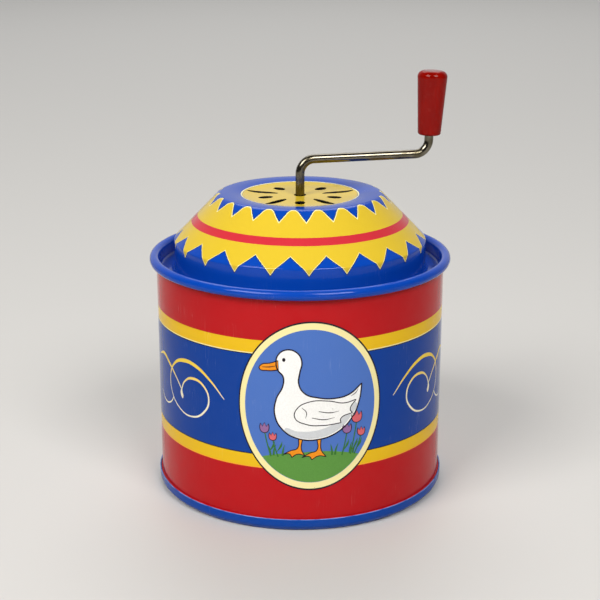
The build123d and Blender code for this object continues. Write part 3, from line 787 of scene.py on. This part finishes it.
# blunt leaf-shaped punches: inner end, outer end and width, long and short in turn
LONG_LEAF, SHORT_LEAF = (6.4, 15.7, 2.2), (7.8, 12.0, 2.8)
SLOTS, SLOT_CORNERS = 10, 32
PUNCH_FOOT, PUNCH_RISE = 80.5, 4.0
shape = bmesh.new()
for index in range(SLOTS):
    inner, outer, width = SHORT_LEAF if index % 2 == 0 else LONG_LEAF
    half, centre = (outer - inner) / 2, (inner + outer) / 2
    ring = []
    for step in range(SLOT_CORNERS):
        angle = 2 * pi * step / SLOT_CORNERS
        across, along = width / 2 * cos(angle), half * sin(angle) - centre
        ring.append(shape.verts.new((across * MM, along * MM, PUNCH_FOOT * MM)))
    face = shape.faces.new(ring)
    risen = bmesh.ops.extrude_face_region(shape, geom=[face])["geom"]
    top = [part for part in risen if isinstance(part, bmesh.types.BMVert)]
    bmesh.ops.translate(shape, verts=top, vec=(0, 0, PUNCH_RISE * MM))
    turn = Matrix.Rotation(index * 2 * pi / SLOTS, 3, "Z")
    bmesh.ops.rotate(shape, verts=ring + top, cent=(0, 0, 0), matrix=turn)
bmesh.ops.recalc_face_normals(shape, faces=shape.faces)
cut_holes(lid, shape)
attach(lid, "can")
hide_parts("top_cover")

# the print on the lid, as radii from the crank's axis
TEETH = 22
TOOTH_TURN = 2 * pi / TEETH
TIP_ANGLE = radians(3.8)
DISC_EDGE = 15.85
UPPER_TIP, UPPER_RISE = 25.1, 3.1
RED_BAND = (28.4, 30.1)
# the lower points are placed by radius less height, which grows all the way down the lid
LOWER_TIP, LOWER_RISE = -33.7, 7.1

LID_YELLOW, LID_BLUE = (0.65, 0.46, 0.028), (0.001, 0.052, 0.39)
LID_RED, LID_CREAM = (0.55, 0.028, 0.042), (0.85, 0.80, 0.42)
DISC_LINE = (0.10, 0.06, 0.03)


def coats(tree, value, colour, steps):
    """Colour, covered by each step's own colour where value is past that step."""
    for start, over in steps:
        colour = paint(tree, calc(tree, "GREATER_THAN", value, start), colour, over)
    return colour


def print_lid():
    """Printed colours of the lid: disc, blue points, red band, yellow points, blue rim."""
    material, tree, place, join_colour = lacquered("printed_lid", gloss=0.14, coat=0.13)
    x, y, height = sides_of(tree, place)
    squares = [calc(tree, "MULTIPLY", side, side) for side in (x, y)]
    radius = calc(tree, "SQRT", calc(tree, "ADD", *squares))
    down = calc(tree, "SUBTRACT", radius, height)
    past_first = calc(tree, "SUBTRACT", angle_round(tree, x, y), TIP_ANGLE)
    turned = calc(tree, "DIVIDE", past_first, TOOTH_TURN)
    from_tip = calc(tree, "MULTIPLY", calc(tree, "PINGPONG", turned, 0.5), 2.0)
    # the upper points have bowed sides and the lower points have straight ones
    arch = tree.nodes.new("ShaderNodeFloatCurve")
    line = arch.mapping.curves[0]
    line.points[0].location = (0.0, 0.0)
    line.points[1].location = (1.0, 1.0)
    for spot in ((0.35, 0.42), (0.62, 0.76), (0.85, 0.96)):
        line.points.new(*spot)
    arch.mapping.update()
    tree.links.new(from_tip, arch.inputs["Value"])
    upper = calc(tree, "MULTIPLY_ADD", arch.outputs[0], -UPPER_RISE, UPPER_TIP)
    lower = calc(tree, "MULTIPLY_ADD", from_tip, -LOWER_RISE, LOWER_TIP)
    # each edge is an ink line and a cream line, a few tenths of a millimetre wide
    disc_steps = [(DISC_EDGE, DISC_LINE), (DISC_EDGE + 0.14, LID_CREAM), (DISC_EDGE + 0.5, LID_BLUE)]
    colour = coats(tree, radius, LID_YELLOW, disc_steps)
    past_upper = calc(tree, "SUBTRACT", radius, upper)
    upper_steps = [(-0.12, INK), (0.06, LID_CREAM), (0.36, LID_YELLOW)]
    colour = coats(tree, past_upper, colour, upper_steps)
    colour = coats(tree, radius, colour, [(RED_BAND[0], LID_RED), (RED_BAND[1], LID_YELLOW)])
    past_lower = calc(tree, "SUBTRACT", down, lower)
    lower_steps = [(-0.38, LID_CREAM), (-0.1, INK), (0.2, LID_BLUE)]
    colour = coats(tree, past_lower, colour, lower_steps)
    join_colour(colour)
    return material


def bare_tin():
    """The unprinted inner face of the tinplate, and the dark edges of the punched slots."""
    material, tree, shader = new_finish("bare_tin")
    shader.inputs["Metallic"].default_value = 0.9
    place = object_mm(tree)
    stain = ramp(tree, noise(tree, place, 0.3, 4.0), 0.35, 0.7)
    colour = paint(tree, stain, (0.11, 0.10, 0.09), (0.05, 0.042, 0.035))
    tree.links.new(colour, shader.inputs["Base Color"])
    tree.links.new(calc(tree, "MULTIPLY_ADD", stain, 0.2, 0.4), shader.inputs["Roughness"])
    return material


SLOT_REACH = 16.0
lid.data.materials.append(print_lid())
lid.data.materials.append(bare_tin())
# the upright faces inside SLOT_REACH are the slots' edges, and those that look down are inside
for face in lid.data.polygons:
    from_axis = sqrt(face.center.x**2 + face.center.y**2)
    slot_edge = from_axis < SLOT_REACH * MM and abs(face.normal.z) < 0.6
    inner_face = from_axis < SHOULDER[0] * MM and face.normal.z < -0.2
    if slot_edge or inner_face:
        face.material_index = 1

# ---- crank -------------------------------------------------------------------------------
# One length of nickel-plated steel wire, 2.5 mm thick, bent twice. It goes down through the
# lid into the coupling sleeve, and its outer end leans outwards a little under the knob.

WIRE_RADIUS, BEND_RADIUS = 1.25, 4.0
WIRE_FOOT, ARM_HEIGHT, ARM_LENGTH, WIRE_END = 31.3, 92.2, 37.0, 20.0
WIRE_ROUND = 0.3
ARM_TURN, KNOB_LEAN = radians(14.0), radians(1.9)
arm_end = Matrix.Translation((ARM_LENGTH * MM, 0, ARM_HEIGHT * MM))
wire_end = Matrix.Rotation(ARM_TURN, 4, "Z") @ arm_end @ Matrix.Rotation(KNOB_LEAN, 4, "Y")
wire_corners = [Vector((0, 0, WIRE_FOOT * MM)), Vector((0, 0, ARM_HEIGHT * MM))]
wire_corners += [wire_end.translation.copy(), wire_end @ Vector((0, 0, WIRE_END * MM))]
wire_data = bpy.data.curves.new("crank_wire", "CURVE")
wire_data.dimensions = "3D"
wire_data.bevel_depth = WIRE_RADIUS * MM
wire_data.bevel_resolution = 12
wire_data.use_fill_caps = True
wire_data.resolution_u = 16
wire_path = wire_data.splines.new("BEZIER")
wire_path.bezier_points.add(5)
knots = wire_path.bezier_points
for knot, end in ((knots[0], wire_corners[0]), (knots[5], wire_corners[3])):
    knot.co = end
    knot.handle_left_type = knot.handle_right_type = "VECTOR"
for bend in (1, 2):
    corner = wire_corners[bend]
    back = (wire_corners[bend - 1] - corner).normalized()
    on = (wire_corners[bend + 1] - corner).normalized()
    turn = pi - back.angle(on)
    reach = BEND_RADIUS * MM * tan(turn / 2)
    pull = BEND_RADIUS * MM * 4 / 3 * tan(turn / 4)
    bend_ends = ((knots[2 * bend - 1], back, True), (knots[2 * bend], on, False))
    for knot, way, before_bend in bend_ends:
        knot.handle_left_type = knot.handle_right_type = "FREE"
        knot.co = corner + way * reach
        handles = [knot.co + way * 2 * MM, knot.co - way * pull]
        knot.handle_left, knot.handle_right = handles if before_bend else handles[::-1]
shape = curve_shape(wire_data)
bmesh.ops.remove_doubles(shape, verts=shape.verts, dist=0.001 * MM)
rims = [edge for edge in shape.edges if edge.calc_face_angle(0) > radians(60)]
bmesh.ops.bevel(
    shape, geom=rims, offset=WIRE_ROUND * MM, offset_type="OFFSET", affect="EDGES", segments=2,
    profile=0.5, material=-1, clamp_overlap=True,
)
bmesh.ops.recalc_face_normals(shape, faces=shape.faces)
crank_wire = piece_from(shape, "crank_wire")
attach(crank_wire, "crank")
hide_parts("crank_rod")


def make_drawn_metal():
    """Node group: fine drawing lines along one axis, tarnish in patches, and small pits."""
    group, place, end = new_effect("drawn_metal", ("Lines", "Tarnish", "Pits"))
    group.links.new(noise(group, place, 3.5, 3.0, (1.0, 1.0, 0.06)), end.inputs["Lines"])
    patches = ramp(group, noise(group, place, 0.22, 4.0), 0.42, 0.72)
    group.links.new(patches, end.inputs["Tarnish"])
    pits = spots(group, place, 0.9, 0.16, 0.06)
    few = ramp(group, noise(group, place, 0.18, 2.0), 0.55, 0.66)
    group.links.new(calc(group, "MULTIPLY", pits, few), end.inputs["Pits"])
    return group


drawn_metal = make_drawn_metal()


def metal(name, colour, tarnished, roughness, spread=0.12, bump_height=0.01):
    """A bare or plated metal finish with drawing lines, tarnish and pits."""
    material, tree, shader = new_finish(name)
    shader.inputs["Metallic"].default_value = 1.0
    lines, tarnish, pits = put_effect(tree, drawn_metal, object_mm(tree))
    shade = paint(tree, calc(tree, "MULTIPLY", tarnish, 0.8), colour, tarnished)
    shade = paint(tree, pits, shade, tuple(0.15 * c for c in tarnished))
    tree.links.new(shade, shader.inputs["Base Color"])
    rough = calc(tree, "MULTIPLY_ADD", lines, spread, roughness - spread / 2)
    rough = calc(tree, "MULTIPLY_ADD", tarnish, spread, rough)
    tree.links.new(rough, shader.inputs["Roughness"])
    bump_by(tree, shader, lines, bump_height, 0.4)
    return material


NICKEL, NICKEL_TARNISHED = (0.19, 0.17, 0.13), (0.09, 0.075, 0.04)
nickel = metal("nickel_plate", NICKEL, NICKEL_TARNISHED, 0.15, bump_height=0.004)
crank_wire.data.materials.append(nickel)

# ---- knob --------------------------------------------------------------------------------
# A moulded taper in deep red gloss plastic, widest at its rounded top, bored from below to
# turn freely on the wire. A spring washer inside it keeps it on.

KNOB_FOOT, KNOB_TOP = 5.3, 23.1
FOOT_RADIUS, TOP_RADIUS = 3.2, 4.25
BORE_RADIUS, BORE_END = WIRE_RADIUS + 0.07, WIRE_END + 0.6
KNOB_TURNS = 96
# down the outside from the top's middle, and up the bore to its end
knob_corners = [(0.0, KNOB_TOP), (TOP_RADIUS, KNOB_TOP), (FOOT_RADIUS, KNOB_FOOT)]
knob_corners += [(BORE_RADIUS, KNOB_FOOT), (BORE_RADIUS, BORE_END), (0.0, BORE_END)]
knob_outline = rounded(knob_corners, [1.7, 0.7, 0.12, 0.05])
shape = spun(knob_outline, closed=False, steps=KNOB_TURNS)
bmesh.ops.transform(shape, matrix=wire_end, verts=shape.verts)
knob = piece_from(shape, "knob", sharp=50.0)
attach(knob, "knob")
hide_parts("crank_knob")


def red_plastic():
    """Polished red plastic with faint flow marks and a few fine rubs."""
    material, tree, shader = new_finish("red_plastic")
    shader.inputs["Specular IOR Level"].default_value = 0.05
    shader.inputs["Coat Weight"].default_value = 0.18
    shader.inputs["Coat Roughness"].default_value = 0.03
    place = object_mm(tree)
    flow = ramp(tree, noise(tree, place, 0.35, 2.0, (1.0, 1.0, 0.3)), 0.3, 0.7)
    colour = paint(tree, flow, (0.19, 0.0018, 0.0003), (0.24, 0.003, 0.0008))
    rubs = ramp(tree, noise(tree, place, 0.8, 4.0), 0.58, 0.75)
    colour = paint(tree, calc(tree, "MULTIPLY", rubs, 0.02), colour, (0.6, 0.3, 0.25))
    tree.links.new(colour, shader.inputs["Base Color"])
    tree.links.new(calc(tree, "MULTIPLY_ADD", rubs, 0.1, 0.1), shader.inputs["Roughness"])
    bump_by(tree, shader, noise(tree, place, 0.5, 1.0), 0.02, 0.3)
    return material


knob.data.materials.append(red_plastic())

# ---- movement ----------------------------------------------------------------------------
# The works inside the can keep their made shapes and get their finishes: turned brass drum,
# wheel and bushes, steel comb, worm, arbor and bridge, a die-cast zinc bedplate, cast lead
# weights under the comb, and fibre washers under the bedplate.

brass = metal("turned_brass", (0.72, 0.50, 0.19), (0.42, 0.26, 0.09), 0.26)
steel = metal("turned_steel", (0.55, 0.55, 0.56), (0.36, 0.33, 0.30), 0.26)
comb_steel = metal("ground_steel", (0.60, 0.61, 0.63), (0.45, 0.44, 0.43), 0.30, spread=0.2)
spring_steel = metal("spring_steel", (0.42, 0.43, 0.45), (0.25, 0.23, 0.21), 0.30)
screw_steel = metal("screw_steel", (0.62, 0.60, 0.56), (0.42, 0.38, 0.32), 0.24)
zinc = metal("cast_zinc", (0.36, 0.37, 0.38), (0.24, 0.24, 0.24), 0.50, bump_height=0.05)
lead = metal("cast_lead", (0.16, 0.165, 0.18), (0.10, 0.10, 0.11), 0.60, bump_height=0.05)


def red_fibre():
    """Dull red-brown fibre with fine flecks."""
    material, tree, shader = new_finish("red_fibre")
    shader.inputs["Roughness"].default_value = 0.75
    flecks = ramp(tree, noise(tree, object_mm(tree), 3.0, 4.0), 0.35, 0.65)
    colour = paint(tree, flecks, (0.19, 0.035, 0.02), (0.30, 0.07, 0.035))
    tree.links.new(colour, shader.inputs["Base Color"])
    return material


finishes = {
    brass: ["worm_wheel", "pin_drum", "drum_end_cap_left", "drum_end_cap_right", "ear_bushes",
            "thrust_washer", "bridge_bush", "coupling_sleeve"],
    steel: ["worm_shaft", "drum_arbor"],
    comb_steel: ["comb"],
    spring_steel: ["knob_clip", "drum_pins", "arbor_clips", "worm_bridge"],
    screw_steel: ["bridge_screws", "comb_screws", "mounting_screws", "coupling_set_screws"],
    zinc: ["movement_bedplate"],
    lead: ["comb_weights"],
    red_fibre(): ["mounting_washers"],
}
for finish, names in finishes.items():
    for name in names:
        mesh = nodes[name].data
        mesh.materials.clear()
        mesh.materials.append(finish)
